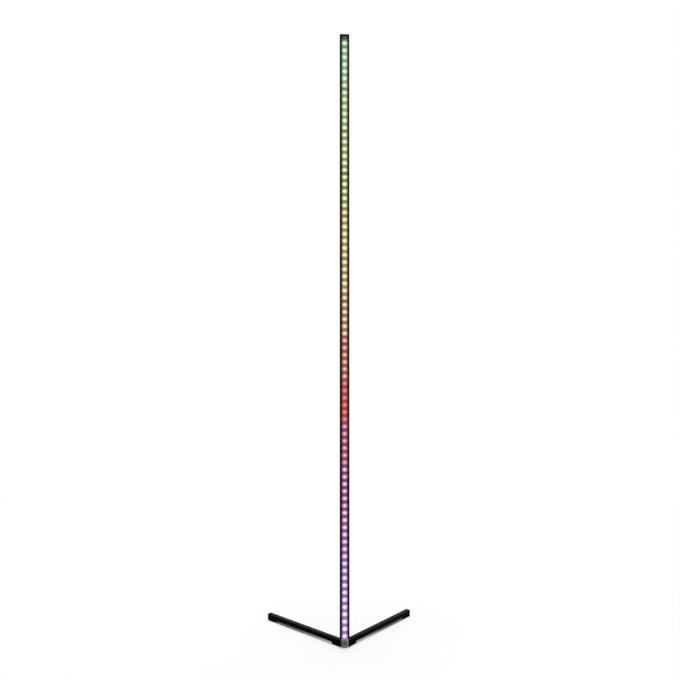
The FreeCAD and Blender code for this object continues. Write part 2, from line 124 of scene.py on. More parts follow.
class Wire:
    """A number carried by a socket of a material, on which Python's operators make Math nodes."""

    def __init__(self, recipe: "Recipe", socket: Socket) -> None:
        """Wrap a socket.

        Args:
            recipe: the material's nodes, in which further nodes are made.
            socket: the output socket that carries the number.
        """
        self.recipe = recipe
        self.socket = socket

    __add__ = operator("ADD")
    __radd__ = operator("ADD", True)
    __sub__ = operator("SUBTRACT")
    __rsub__ = operator("SUBTRACT", True)
    __mul__ = operator("MULTIPLY")
    __truediv__ = operator("DIVIDE")
    __lt__ = operator("LESS_THAN")
    __gt__ = operator("GREATER_THAN")

    def __abs__(self) -> "Wire":
        """Distance from zero."""
        return self.recipe.maths("ABSOLUTE", self)

    def floor(self) -> "Wire":
        """The whole number below."""
        return self.recipe.maths("FLOOR", self)

    def within(self, low: float, high: float) -> "Wire":
        """Hold the number between two limits."""
        return self.recipe.maths("MINIMUM", self.recipe.maths("MAXIMUM", self, low), high)

    def bell(self) -> "Wire":
        """A bell curve that is 1 at 0 and falls to a third at 1."""
        return self.recipe.maths("EXPONENT", self * self * -1.0)

    def step(self, low: float, high: float) -> "Wire":
        """A soft step from 0 at the low limit to 1 at the high one.

        Args:
            low: where the step starts.
            high: where it ends.

        Returns:
            The step's height.
        """
        inputs = {"Value": self, "From Min": low, "From Max": high}
        made = self.recipe.node("ShaderNodeMapRange", inputs, {"interpolation_type": "SMOOTHSTEP"})
        return Wire(self.recipe, made.outputs["Result"])

    def stretched(self) -> "Wire":
        """Noise with its usual range stretched to the whole one from 0 to 1."""
        return self.step(NOISE_LOW, NOISE_HIGH)


Number = Union[float, Wire]
Feed = Union[float, Colour, Wire, Socket]


class Recipe:
    """The nodes of one tree, and the one method that makes them."""

    def __init__(self, tree: bpy.types.NodeTree) -> None:
        """Start from an empty tree.

        Args:
            tree: the tree that gets the nodes.
        """
        self.tree = tree
        self.shader: Optional[bpy.types.Node] = None
        tree.nodes.clear()

    def node(
        self,
        kind: str,
        inputs: Optional[Dict[Union[str, int], Feed]] = None,
        settings: Optional[Dict[str, object]] = None,
    ) -> bpy.types.Node:
        """Make one node.

        Args:
            kind: the node's type.
            inputs: values or links of the node's sockets, by name or place.
            settings: what is set on the node itself, before those.

        Returns:
            The node.
        """
        made = self.tree.nodes.new(kind)
        for name, value in (settings or {}).items():
            setattr(made, name, value)
        for key, value in (inputs or {}).items():
            self.feed(made.inputs[key], value)
        return made

    def feed(self, socket: Socket, value: Feed) -> None:
        """Link a socket, or set its own value.

        Args:
            socket: the input socket.
            value: a wire or a socket to link, or a number, colour or vector to set.
        """
        if isinstance(value, Wire):
            value = value.socket
        if isinstance(value, Socket):
            self.tree.links.new(value, socket)
        elif isinstance(value, tuple) and socket.type == "RGBA":
            socket.default_value = (*value, 1.0)
        else:
            socket.default_value = value

    def coat(self, **values: Feed) -> None:
        """Feed the material's shader, with an underscore for a space in an input's name."""
        for name, value in values.items():
            self.feed(self.shader.inputs[name.replace("_", " ")], value)

    def maths(self, operation: str, *values: Number) -> Wire:
        """Make a Math node on numbers or wires."""
        made = self.node("ShaderNodeMath", dict(enumerate(values)), {"operation": operation})
        return Wire(self, made.outputs["Value"])

    def place(self) -> Tuple[Wire, Wire, Wire]:
        """The three coordinates of a point of the surface, in metres."""
        where = self.node("ShaderNodeTexCoord").outputs["Object"]
        parts = self.node("ShaderNodeSeparateXYZ", {"Vector": where})
        return tuple(Wire(self, parts.outputs[axis]) for axis in "XYZ")

    def looking_up(self) -> Wire:
        """1 on faces that look up, and 0 on upright ones and undersides."""
        facing = self.node("ShaderNodeNewGeometry").outputs["Normal"]
        parts = self.node("ShaderNodeSeparateXYZ", {"Vector": facing})
        return Wire(self, parts.outputs["Z"]).step(*PAINTED_TOP_TILTS)

    def grain(self, detail: float, size: Size) -> Wire:
        """Noise with grains of one size, or of a length along each axis.

        Args:
            detail: how many finer layers the noise has.
            size: the grains' size or three lengths, in metres.

        Returns:
            The noise, about 0.5 in the middle.
        """
        lengths = size if isinstance(size, tuple) else (size, size, size)
        where = self.node("ShaderNodeTexCoord").outputs["Object"]
        inputs = {0: where, 1: tuple(1 / length for length in lengths)}
        scaled = self.node("ShaderNodeVectorMath", inputs, {"operation": "MULTIPLY"})
        inputs = {"Vector": scaled.outputs["Vector"], "Scale": 1.0, "Detail": detail}
        return Wire(self, self.node("ShaderNodeTexNoise", inputs).outputs["Fac"])

    def mixed(self, share: Number, low: Feed, high: Feed) -> Socket:
        """Mix two colours.

        Args:
            share: how much of the second colour there is.
            low: the colour at a share of 0.
            high: the colour at a share of 1.

        Returns:
            The socket that carries the mixed colour.
        """
        inputs = {0: share, 6: low, 7: high}
        return self.node("ShaderNodeMix", inputs, {"data_type": "RGBA"}).outputs[2]

    def emboss(self, height: Wire, depth: float, strength: float) -> None:
        """Give the surface a small relief.

        Args:
            height: the relief, from 0 to 1.
            depth: how deep the relief is, in metres.
            strength: how much of it shows.
        """
        inputs = {"Height": height, "Distance": depth, "Strength": strength}
        self.coat(Normal=self.node("ShaderNodeBump", inputs).outputs["Normal"])

    def copies(self, points: Socket, shape: Socket) -> Socket:
        """Copy a shape to each point, in a geometry tree, as real geometry."""
        inputs = {"Points": points, "Instance": shape}
        made = self.node("GeometryNodeInstanceOnPoints", inputs).outputs["Instances"]
        made = self.node("GeometryNodeRealizeInstances", {"Geometry": made})
        return made.outputs["Geometry"]


# Finishes


@dataclass(frozen=True)
class Finish:
    """A surface finish with one base colour; the kinds below add what the real surface shows.

    Attributes:
        name: the finish's name, and its material's.
        colour: linear base colour.
        roughness: 0 for a mirror, 1 for chalk.
        shine: specular level, 0.5 for most plastics.
        metallic: 1 for bare metal.
        painted_top_light: painted light, how much lighter, as a linear grey, faces that look up
            are.
    """

    name: str
    colour: Colour
    roughness: float
    shine: float = 0.5
    metallic: float = 0.0
    painted_top_light: float = 0.0

    def material(self) -> bpy.types.Material:
        """Make the material the first time, and give the same one after that.

        Returns:
            A material with one Principled shader.
        """
        if self.name in bpy.data.materials:
            return bpy.data.materials[self.name]
        made = bpy.data.materials.new(self.name)
        made.use_nodes = True
        recipe = Recipe(made.node_tree)
        recipe.shader = recipe.node("ShaderNodeBsdfPrincipled")
        recipe.coat(Specular_IOR_Level=self.shine, Metallic=self.metallic)
        self.dress(recipe)
        surface = recipe.shader.outputs["BSDF"]
        recipe.node("ShaderNodeOutputMaterial", {"Surface": surface})
        return made

    def dress(self, recipe: Recipe) -> None:
        """Feed the shader what changes over the surface.

        Args:
            recipe: the material's nodes.
        """
        raise NotImplementedError

    def uneven(self, recipe: Recipe, share: Wire, spread: float) -> None:
        """Vary the base colour and the roughness a little together.

        Args:
            recipe: the material's nodes.
            share: the pattern, from 0 to 1.
            spread: how far the colour goes to each side of the base colour, as a share of it.
        """
        darker = tuple(part * (1 - spread) for part in self.colour)
        lighter = tuple(part * (1 + spread) for part in self.colour)
        colour = recipe.mixed(share, darker, lighter)
        # Painted light: faces that look up are made lighter, as if catching the overhead light.
        if self.painted_top_light:
            film = recipe.looking_up() * (PAINTED_TOP_LEAST + share * (1 - PAINTED_TOP_LEAST))
            colour = recipe.mixed(film, colour, (self.painted_top_light, self.painted_top_light, self.painted_top_light))
        smoothest = self.roughness - ROUGHNESS_RANGE / 2
        recipe.coat(Base_Color=colour, Roughness=share * ROUGHNESS_RANGE + smoothest)


@dataclass(frozen=True)
class Marked(Finish):
    """A finish with fine marks in relief, over larger clouds.

    Attributes:
        mark: size of a mark.
        detail: how many finer layers the marks have.
        cloud: size of a cloud.
        cloudy: how much of the pattern the clouds are.
        spread: how far the colour goes to each side of the base colour, as a share of it.
        relief: depth of the marks.
        strength: how much of the relief shows.
    """

    mark: Size = MM
    detail: float = 2.0
    cloud: Size = MM
    cloudy: float = 0.0
    spread: float = 0.3
    relief: float = 0.02 * MM
    strength: float = 0.5

    def dress(self, recipe: Recipe) -> None:
        """Feed the shader the marks and the clouds."""
        marks = recipe.grain(self.detail, self.mark)
        pattern = marks
        if self.cloudy:
            clouds = recipe.grain(2.0, self.cloud)
            pattern = marks * (1 - self.cloudy) + clouds * self.cloudy
        self.uneven(recipe, pattern.stretched(), self.spread)
        recipe.emboss(marks, self.relief, self.strength)


@dataclass(frozen=True)
class ExtrudedMetal(Marked):
    """Anodised extrusion: fine die lines along its length, and slight cloudiness."""

    mark: Size = (0.25 * MM, 0.25 * MM, 60 * MM)
    detail: float = 3.0
    cloud: Size = (9 * MM, 9 * MM, 40 * MM)
    cloudy: float = 0.4
    spread: float = 0.35
    relief: float = 0.012 * MM
    strength: float = 0.35


@dataclass(frozen=True)
class PowderCoat(Marked):
    """Baked powder paint on steel: a fine orange peel, and slight cloudiness."""

    mark: Size = 0.9 * MM
    cloud: Size = 35 * MM
    cloudy: float = 0.6
    relief: float = 0.03 * MM
    strength: float = 0.4


@dataclass(frozen=True)
class Moulding(Marked):
    """Moulded plastic or rubber: the fine grain of the mould's surface, and slight flow marks."""

    mark: Size = 0.35 * MM
    detail: float = 1.0
    cloud: Size = (14 * MM, 14 * MM, 5 * MM)
    cloudy: float = 0.5


@dataclass(frozen=True)
class BrushedMetal(Marked):
    """Bare or blackened metal with marks across it from its making."""

    mark: Size = (4 * MM, 0.12 * MM, 0.12 * MM)
    spread: float = 0.15
    relief: float = 0.006 * MM
    strength: float = 0.3


class Hue(enum.Enum):
    """The colours that the strip runs through, from its top down.

    Attributes:
        place: share of the strip's height down from its top.
        glow: colour between the lights.
        heart: colour at the middle of a light.
    """

    LEAF = 0.03, paint(134, 173, 110), paint(233, 255, 221)
    LIME = 0.15, paint(133, 158, 82), paint(243, 255, 208)
    LEMON = 0.25, paint(116, 122, 46), paint(251, 255, 203)
    HONEY = 0.335, paint(159, 134, 57), paint(255, 250, 190)
    AMBER = 0.4, paint(166, 118, 52), paint(255, 248, 190)
    APRICOT = 0.465, paint(155, 90, 48), paint(255, 234, 191)
    CORAL = 0.535, paint(156, 56, 36), paint(255, 198, 173)
    RED = 0.605, paint(175, 44, 42), paint(249, 135, 127)
    ROSE = 0.68, paint(150, 4, 68), paint(252, 177, 218)
    ORCHID = 0.75, paint(125, 2, 93), paint(255, 207, 247)
    LILAC = 0.86, paint(145, 38, 164), paint(255, 225, 255)
    VIOLET = 0.965, paint(152, 92, 190), paint(255, 238, 255)

    def __init__(self, place: float, glow: Colour, heart: Colour) -> None:
        """Keep a hue's place and its two colours."""
        self.place, self.glow, self.heart = place, glow, heart


@dataclass(frozen=True)
class Glow:
    """How the strip shines: where its lights are, and how each spreads in the silicone.

    Attributes:
        top: height of the upper end of the board.
        pitch: distance between lights.
        count: number of lights.
        per_group: lights that one chip drives alike.
        width: how far a light spreads across the sleeve.
        height: how far it spreads along the sleeve.
        core: how much wider than a plain bell curve the brightest middle is.
        first: how much more that is for the upper lights.
        first_run: shares of the run over which that goes.
        last: how much more that is for the lowest light.
        last_run: shares of the run over which that comes.
        haze: how far the glow between the lights spreads across the sleeve.
        change: how soft the change between groups is, as a share of a group.
        chip_width: half the width of a driver chip's shade.
        chip_height: half its height, in lights.
        chip_shade: how dark it is.
        low_chips: how much fainter it is in the lower half.
        chips_run: shares of the run over which that comes.
        dim_below: heights over the board's lower end between which the glow starts.
        dim_above: heights over its upper end between which it stops.
        dim: the colour beyond both ends.
    """

    top: float
    pitch: float
    count: int
    per_group: int
    width: float = 4.4 * MM
    height: float = 4.0 * MM
    core: float = 1.3
    first: float = 0.35
    first_run: Pair = (0.35, 0.55)
    last: float = 0.45
    last_run: Pair = (0.75, 1.0)
    haze: float = 6.5 * MM
    change: float = 0.06
    chip_width: float = 4 * MM
    chip_height: float = 0.2
    chip_shade: float = 0.55
    low_chips: float = 0.7
    chips_run: Pair = (0.1, 0.6)
    dim_below: Pair = (-5 * MM, 3 * MM)
    dim_above: Pair = (-4.5 * MM, 4.5 * MM)
    dim: Colour = (0.02, 0.018, 0.02)

    def run(self, recipe: Recipe, colours: Callable[[Hue], Colour]) -> Socket:
        """The strip's colour at a height, alike over each group and soft between groups.

        Args:
            recipe: the material's nodes.
            colours: which of a hue's two colours is wanted.

        Returns:
            The socket that carries the colour.
        """
        _, _, z = recipe.place()
        group = (self.top - z) / (self.pitch * self.per_group)
        nearest = (group + 0.5).floor()
        change = (group - nearest).step(-self.change, self.change)
        share = (nearest + change - 0.5) / (self.count / self.per_group)
        ramp = recipe.node("ShaderNodeValToRGB", {"Fac": share.within(0.0, 1.0)})
        stops = ramp.color_ramp.elements
        for number, hue in enumerate(Hue):
            stop = stops[number] if number < len(stops) else stops.new(1.0)
            stop.position = hue.place
            stop.color = (*colours(hue), 1.0)
        return ramp.outputs["Color"]

    def spots(self, recipe: Recipe) -> Wire:
        """How near a point is to the middle of a light: 1 there, and 0 between lights."""
        x, _, z = recipe.place()
        light = ((self.top - z) / self.pitch).floor().within(0.0, self.count - 1.0)
        away = z - (self.top - (light + 0.5) * self.pitch)
        share = light / self.count
        upper = 1 - share.step(*self.first_run)
        core = self.core + share.step(*self.last_run) * self.last + upper * self.first
        return ((x / self.width).bell() * (away / self.height).bell() * core).within(0.0, 1.0)

    def shades(self, recipe: Recipe) -> Wire:
        """How dark the driver chips make the sleeve: one below each group's first light."""
        x, _, z = recipe.place()
        run = (self.top - z) / self.pitch
        in_group = run - (run / self.per_group).floor() * self.per_group
        upper = 1 - (run / self.count).step(*self.chips_run) * self.low_chips
        shade = ((in_group - 1.0) / self.chip_height).bell() * (x / self.chip_width).bell()
        return shade * upper

    def colour(self, recipe: Recipe) -> Socket:
        """The light that the silicone gives off over its whole face."""
        x, _, z = recipe.place()
        glow = self.run(recipe, lambda hue: hue.glow)
        glow = recipe.mixed((x / self.haze).bell(), BLACK, glow)
        heart = self.run(recipe, lambda hue: hue.heart)
        lit = recipe.mixed(self.spots(recipe), glow, heart)
        shaded = recipe.mixed(self.shades(recipe) * self.chip_shade, lit, BLACK)
        low = self.top - self.count * self.pitch
        above_low = z.step(*(low + part for part in self.dim_below))
        below_top = 1 - z.step(*(self.top + part for part in self.dim_above))
        return recipe.mixed(above_low * below_top, self.dim, shaded)


@dataclass(frozen=True)
class MilkySilicone(Finish):
    """The sleeve: translucent silicone that spreads the lights behind it.

    Attributes:
        glow: how the strip shines.
        skin: Y of the inside of the sleeve's front wall.
        half_room: half the width of the room inside.
        solid: how much of what is behind the front wall it hides.
        margin: how far out the room's inner faces may lie and still be see-through.
        film: size of a cloudy patch.
        relief: depth of the patches.
    """

    glow: Optional[Glow] = None
    skin: float = 0.0
    half_room: float = 0.0
    solid: float = 0.9
    margin: float = 0.05 * MM
    film: Size = (3 * MM, 3 * MM, 22 * MM)
    relief: float = 0.05 * MM

    def dress(self, recipe: Recipe) -> None:
        """Feed the shader the light, the see-through walls and a slight unevenness."""
        x, y, _ = recipe.place()
        film = recipe.grain(2.0, self.film)
        self.uneven(recipe, film.stretched(), 0.08)
        inner = (abs(x) < self.half_room + self.margin) * (y > self.skin - self.margin)
        recipe.coat(Alpha=self.solid - inner * self.solid)
        recipe.coat(Emission_Color=self.glow.colour(recipe), Emission_Strength=1.0)
        recipe.emboss(film, self.relief, 0.2)


@dataclass(frozen=True)
class ClearSilicone(Finish):
    """The boot and the top plug: greyish silicone, lighter where its wall is seen edge on.

    Attributes:
        rim: colour of the thick walls.
        half_room: half the width of the thin-walled middle.
        room_low: height of the middle's lower end.
        room_high: height of the middle's upper end.
        solid: how much it hides of what is behind it.
        painted_left_shade: how much darker the rim is on its left, as painted shade.
        tint: colour of the light that the strip sends into it.
        lit_from: height at which that light has gone.
        lit_to: height at which it is full.
        wall: where the middle turns into the side walls, from half the room's width.
        roof: how far above and below its upper end it turns into the upper wall.
        bottom: how far above and below its lower end it turns into the lower wall.
        left: places between which the darker left of the rim fades.
        lit_sides: distances from the middle over which the strip's light weakens.
        film: size of a cloudy patch.
        relief: depth of the patches.
    """

    rim: Colour = BLACK
    half_room: float = 4.5 * MM
    room_low: float = 0.0
    room_high: float = 1.0
    solid: float = 0.9
    painted_left_shade: float = 0.0
    tint: Colour = BLACK
    lit_from: float = 0.0
    lit_to: float = 1.0
    wall: Pair = (-1.2 * MM, 1.5 * MM)
    roof: float = 1.0 * MM
    bottom: float = 1.5 * MM
    # left: places between which the painted shade on the rim's left fades.
    left: Pair = (-8 * MM, -4 * MM)
    lit_sides: Pair = (4 * MM, 9 * MM)
    film: float = 2 * MM
    relief: float = 0.05 * MM

    def dress(self, recipe: Recipe) -> None:
        """Feed the shader the rim, the middle and the strip's light."""
        x, _, z = recipe.place()
        film = recipe.grain(2.0, self.film)
        across = 1 - abs(x).step(*(self.half_room + part for part in self.wall))
        along = z.step(self.room_low - self.bottom, self.room_low + self.bottom)
        along = along * (1 - z.step(self.room_high - self.roof, self.room_high + self.roof))
        thin = across * along * (0.8 + film * 0.3)
        # Painted shade: the left of the rim is darkened, as if the light came from the right.
        left = (1 - x.step(*self.left)) * self.painted_left_shade
        rim = recipe.mixed(left, self.rim, BLACK)
        colour = recipe.mixed(thin, rim, self.colour)
        roughness = film * 0.1 + (self.roughness - 0.05)
        recipe.coat(Base_Color=colour, Roughness=roughness, Alpha=self.solid)
        lit = z.step(self.lit_from, self.lit_to) * (1 - abs(x).step(*self.lit_sides) * 0.6)
        recipe.coat(Emission_Color=recipe.mixed(lit, BLACK, self.tint), Emission_Strength=1.0)
        recipe.emboss(film, self.relief, 0.2)


@dataclass(frozen=True)
class LitLens(Finish):
    """The resin in a light's window, shining in its group's colour.

    Attributes:
        glow: how the strip shines.
        pebble: size of the resin's grains.
    """

    glow: Optional[Glow] = None
    pebble: float = 0.4 * MM

    def dress(self, recipe: Recipe) -> None:
        """Feed the shader the group's light."""
        grain = recipe.grain(1.0, self.pebble)
        self.uneven(recipe, grain.stretched(), 0.1)
        light = self.glow.run(recipe, lambda hue: hue.heart)
        recipe.coat(Emission_Color=light, Emission_Strength=1.0)


@dataclass(frozen=True)
class CircuitBoard(Finish):
    """White solder mask with the raised runs of the copper under it.

    Attributes:
        track: width of a copper run with its gap.
        gap: shares of that over which the gap's edge slopes, from its middle.
        weave: size of the board's grains.
        relief: height of the runs.
    """

    track: float = 1.6 * MM
    gap: Pair = (0.06, 0.12)
    weave: float = 0.3 * MM
    relief: float = 0.035 * MM

    def dress(self, recipe: Recipe) -> None:
        """Feed the shader the tracks' relief and shade."""
        x, _, _ = recipe.place()
        run = x / self.track
        gap = 1 - abs(run - run.floor() - 0.5).step(*self.gap)
        grain = recipe.grain(1.0, self.weave)
        self.uneven(recipe, (gap * 0.5 + grain * 0.5).step(0.1, 0.9), 0.12)
        recipe.emboss(1 - gap, self.relief, 0.6)


# Meshes


def from_bmesh(name: str, made: bmesh.types.BMesh) -> Piece:
    """Turn a bmesh into an object at the origin.

    Args:
        name: the piece's name.
        made: the bmesh, which is freed.

    Returns:
        The object, linked to the scene.
    """
    mesh = bpy.data.meshes.new(name)
    made.to_mesh(mesh)
    made.free()
    piece = bpy.data.objects.new(name, mesh)
    bpy.context.scene.collection.objects.link(piece)
    return piece


def plain(piece: Piece) -> None:
    """Turn a piece with modifiers into a plain mesh.

    Args:
        piece: the piece, whose modifiers are taken off.
    """
    seen = piece.evaluated_get(bpy.context.evaluated_depsgraph_get())
    mesh = bpy.data.meshes.new_from_object(seen)
    piece.modifiers.clear()
    piece.data = mesh
    mesh.name = piece.name


def eased(node: str, width: float, segments: int = 2) -> Piece:
    """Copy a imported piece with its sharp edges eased.

    Args:
        node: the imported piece.
        width: how wide the easing is.
        segments: how many faces each eased edge has.

    Returns:
        The new piece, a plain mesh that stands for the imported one.
    """
    made = bmesh.new()
    made.from_mesh(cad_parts[node].data)
    bmesh.ops.remove_doubles(made, verts=made.verts, dist=WELD)
    bmesh.ops.dissolve_limit(made, angle_limit=FLAT, verts=made.verts, edges=made.edges)
    piece = from_bmesh(f"{node}_eased", made)
    easing = piece.modifiers.new("easing", "BEVEL")
    easing.width = width
    easing.segments = segments
    easing.limit_method = "ANGLE"
    easing.angle_limit = EDGE
    plain(piece)
    piece.data.shade_smooth()
    piece.data.set_sharp_from_angle(angle=CREASE)
    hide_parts(node)
    return piece


def loft(name: str, loops: Sequence[Sequence[Triple]]) -> Piece:
    """Join loops of points by faces, closed at both ends.

    Args:
        name: the piece's name.
        loops: the loops' points, as many in each.

    Returns:
        The piece.
    """
    made = bmesh.new()
    rows = [[made.verts.new(point) for point in loop] for loop in loops]
    for outer, inner in zip(rows, rows[1:]):
        for step, point in enumerate(outer):
            after = (step + 1) % len(outer)
            made.faces.new((point, outer[after], inner[after], inner[step]))
    made.faces.new(rows[0])
    made.faces.new(rows[-1])
    bmesh.ops.recalc_face_normals(made, faces=made.faces)
    return from_bmesh(name, made)


def lathe(name: str, rings: Sequence[Pair], segments: int, hexagons: int = 0) -> Piece:
    """Turn a profile round the Y axis.

    Args:
        name: the piece's name.
        rings: radius and Y, from the outside in.
        segments: how many points each ring has, a multiple of six.
        hexagons: how many of the last rings are hexagons.

    Returns:
        The piece.
    """
    loops = []
    for number, (radius, depth) in enumerate(rings):
        loop = []
        for step in range(segments):
            turn = 2 * math.pi * step / segments
            reach = radius
            if number >= len(rings) - hexagons:
                reach = radius / math.cos((turn % (math.pi / 3)) - math.pi / 6)
            loop.append((reach * math.cos(turn), depth, reach * math.sin(turn)))
        loops.append(loop)
    return loft(name, loops)


def bead(name: str, size: Triple, taper: float) -> Piece:
    """A flat pillow with sloping sides that faces -Y, its back at Y = 0.

    Args:
        name: the piece's name.
        size: its width, thickness and height.
        taper: how far its sides slope in.

    Returns:
        The piece.
    """
    width, thick, tall = size
    loops = []
    for depth, inset in ((0.0, 0.0), (-thick * 0.7, taper * 0.4), (-thick, taper)):
        reach, rise = width / 2 - inset, tall / 2 - inset
        corners = ((-reach, -rise), (reach, -rise), (reach, rise), (-reach, rise))
        loops.append([(x, depth, z) for x, z in corners])
    return loft(name, loops)


@dataclass
class RowsOfRows:
    """Copies of one shape in an outer row of inner rows, made by Geometry Nodes.

    Attributes:
        start: where the first copy stands.
        outer_count: number of inner rows.
        outer_step: from one inner row to the next.
        inner_count: number of copies in an inner row.
        inner_step: from one copy to the next.
        skip: copies left out at the start.
    """

    # The tree's inputs for the fields below, and the kind of each.
    KINDS = {
        "Start": "Vector",
        "Outer Count": "Int",
        "Outer Step": "Vector",
        "Inner Count": "Int",
        "Inner Step": "Vector",
        "Skip": "Int",
    }

    start: Vector
    outer_count: int
    outer_step: Vector
    inner_count: int
    inner_step: Vector
    skip: int = 0

    @classmethod
    def tree(cls) -> bpy.types.NodeTree:
        """The tree, which every row of pieces shares."""
        name = "rows_of_rows"
        if name in bpy.data.node_groups:
            return bpy.data.node_groups[name]
        group = bpy.data.node_groups.new(name, "GeometryNodeTree")
        kinds = {"Geometry": "Geometry", **cls.KINDS, "Material": "Material"}
        for title, kind in kinds.items():
            group.interface.new_socket(title, in_out="INPUT", socket_type=f"NodeSocket{kind}")
        group.interface.new_socket("Geometry", in_out="OUTPUT", socket_type="NodeSocketGeometry")
        recipe = Recipe(group)
        given = recipe.node("NodeGroupInput").outputs
        lines = []
        for row in ("Outer", "Inner"):
            inputs = {"Count": given[f"{row} Count"], "Offset": given[f"{row} Step"]}
            lines.append(recipe.node("GeometryNodeMeshLine", inputs, {"mode": "OFFSET"}))
        recipe.feed(lines[0].inputs["Start Location"], given["Start"])
        places = recipe.copies(*(line.outputs["Mesh"] for line in lines))
        index = recipe.node("GeometryNodeInputIndex").outputs["Index"]
        settings = {"data_type": "INT", "operation": "LESS_THAN"}
        early = recipe.node("FunctionNodeCompare", {2: index, 3: given["Skip"]}, settings)
        inputs = {"Geometry": places, "Selection": early.outputs["Result"]}
        kept = recipe.node("GeometryNodeDeleteGeometry", inputs, {"domain": "POINT"})
        copies = recipe.copies(kept.outputs["Geometry"], given["Geometry"])
        inputs = {"Geometry": copies, "Material": given["Material"]}
        dressed = recipe.node("GeometryNodeSetMaterial", inputs)
        recipe.node("NodeGroupOutput", {"Geometry": dressed.outputs["Geometry"]})
        return group

    def spread(self, piece: Piece, finish: Finish) -> None:
        """Turn one shape into the rows, as a plain mesh.

        Args:
            piece: the shape, which becomes the rows.
            finish: the rows' finish.
        """
        tree = self.tree()
        modifier = piece.modifiers.new("rows", "NODES")
        modifier.node_group = tree
        sockets = tree.interface.items_tree
        named = {socket.name: socket.identifier for socket in sockets if socket.in_out == "INPUT"}
        for title in self.KINDS:
            modifier[named[title]] = getattr(self, title.lower().replace(" ", "_"))
        modifier[named["Material"]] = finish.material()
        piece.update_tag()
        plain(piece)


def finish_piece(piece: Piece, finish: Finish) -> None:
    """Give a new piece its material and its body.

    Args:
        piece: the piece.
        finish: its finish.
    """
    piece.data.materials.clear()
    piece.data.materials.append(finish.material())
    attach(piece, BODY)
    LOG.info("made %s: %d faces", piece.name, len(piece.data.polygons))


def dress_nodes(finish: Finish, *nodes: str) -> None:
    """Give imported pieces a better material.

    Args:
        finish: their finish.
        nodes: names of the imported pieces.
    """
    material = finish.material()
    for node in nodes:
        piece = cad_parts[node]
        if not piece.material_slots:
            piece.data.materials.append(material)
        for place in piece.material_slots:
            place.material = material
        LOG.info("dressed %s", node)


# Sub-assemblies


@dataclass
class Pole:
    """The pole: four lengths of extrusion, the bars that join them, their screws and the cap.

    Attributes:
        sections: number of lengths.
        edge: how far the cut ends are eased.
        cap_edge: how far the cap's edges are eased.
        shank_radius: radius of a screw's shank.
        screw_radius: radius of its head.
        screw_height: how far the head stands out.
        socket: half the width of the screw's hexagon.
        socket_depth: how deep the hexagon is.
    """

    sections: int = 4
    edge: float = 0.2 * MM
    cap_edge: float = 0.5 * MM
    shank_radius: float = 1.45 * MM
    screw_radius: float = 2.6 * MM
    screw_height: float = 1.3 * MM
    socket: float = 0.95 * MM
    socket_depth: float = 0.8 * MM
    black: Finish = ExtrudedMetal("black anodised aluminium", paint(4, 4, 5), 0.5, 0.015)
    bright: Finish = ExtrudedMetal("bright aluminium", paint(190, 191, 193), 0.35, 0.5, 1.0)
    plastic: Finish = Moulding("black cap plastic", paint(12, 12, 13), 0.55, 0.06)
    steel: Finish = BrushedMetal("blackened screw steel", paint(38, 38, 40), 0.35, 0.5, 0.8)

    def build(self) -> None:
        """Dress the pole's pieces."""
        for number in range(1, self.sections + 1):
            node = f"pole_section_{number}"
            finish_piece(eased(node, self.edge), self.black)
        bars = [f"splice_bar_{number}" for number in range(1, self.sections)]
        dress_nodes(self.bright, *bars)
        cap = eased("top_end_cap", self.cap_edge, 3)
        finish_piece(cap, self.plastic)
        self.screws()

    def screws(self) -> None:
        """Make the button-head screws in the pole's back."""
        low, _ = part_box("pole_screws")
        section_low, section_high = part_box("pole_section_1")
        back = section_high.y
        length = section_high.z - section_low.z
        top = back + self.screw_height
        # The shank, the domed head from its rim to its flat top, and the hexagon.
        rings = [
            (self.shank_radius, low.y),
            (self.shank_radius, back),
            (self.screw_radius, back),
            (self.screw_radius, back + 0.35 * MM),
            (self.screw_radius - 0.25 * MM, back + 0.75 * MM),
            (self.screw_radius - 0.8 * MM, top - 0.15 * MM),
            (self.screw_radius - 1.25 * MM, top),
            (self.socket, top),
            (self.socket, top - self.socket_depth),
        ]
        piece = lathe("pole_screws_button", rings, 24, 2)
        reach = low.z + self.screw_radius - section_low.z
        start = Vector((0, 0, section_low.z - reach))
        upright = Vector((0, 0, 1))
        rows = RowsOfRows(start, self.sections, upright * length, 2, upright * 2 * reach, 1)
        rows.spread(piece, self.steel)
        piece.data.shade_smooth()
        piece.data.set_sharp_from_angle(angle=EDGE)
        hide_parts("pole_screws")
        finish_piece(piece, self.steel)


